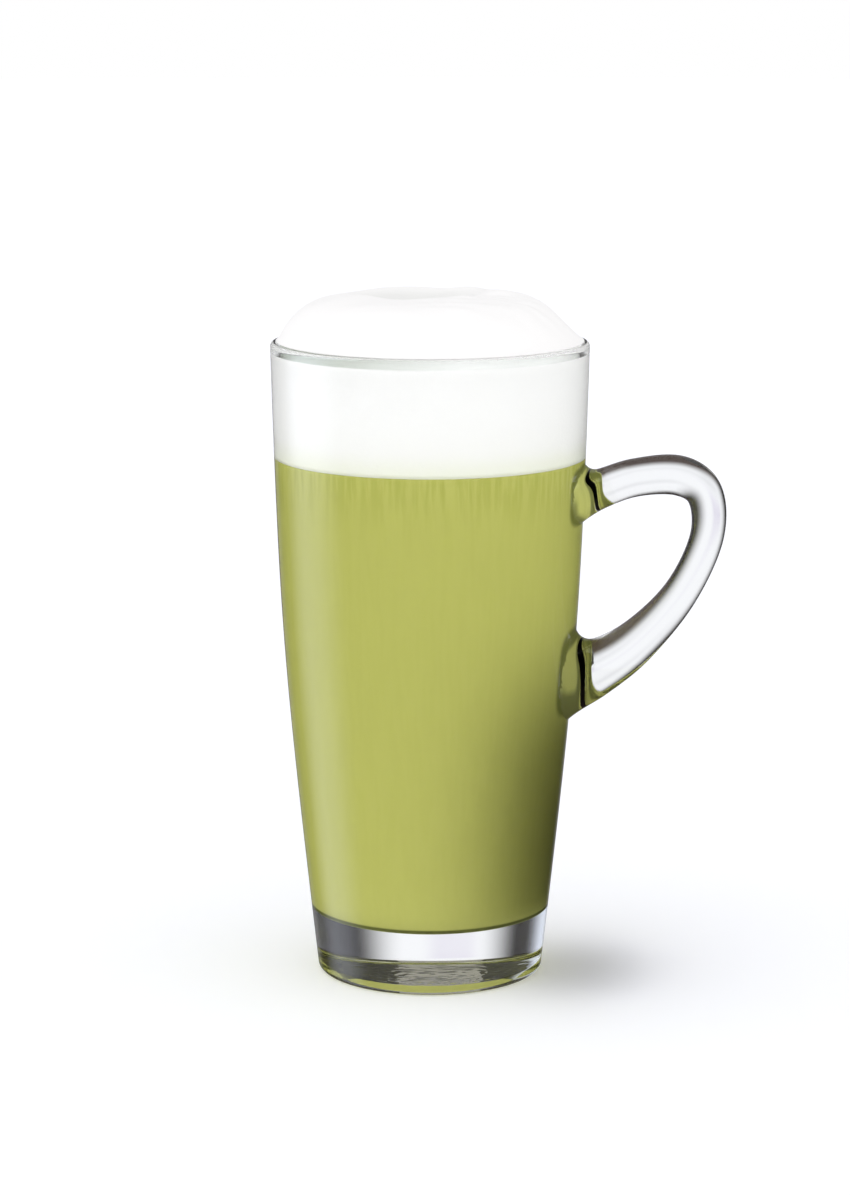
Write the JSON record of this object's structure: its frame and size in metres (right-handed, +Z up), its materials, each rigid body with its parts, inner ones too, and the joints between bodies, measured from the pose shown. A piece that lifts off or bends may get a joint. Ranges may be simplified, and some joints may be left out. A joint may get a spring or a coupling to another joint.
{
  "type": "iced matcha",
  "caption": "Tall clear glass mug with a side handle, filled with green matcha drink under a domed cap of white milk foam.",
  "frame": {"origin": "middle of the mug's flat base, on the mug's axis", "axes": "+Z up along the mug's axis, +X towards the handle, +Y to the left of the handle"},
  "size_m": [0.1032, 0.072, 0.1568],
  "materials": {
    "clear_glass": "smooth clear soda-lime glass, fire polished",
    "matcha": "opaque milky green liquid",
    "foam": "fine soft white milk foam, matt"
  },
  "bodies": {
    "root": {"glass_mug": "clear_glass", "matcha_drink": "matcha", "milk_foam": "foam"}
  },
  "joints": []
}
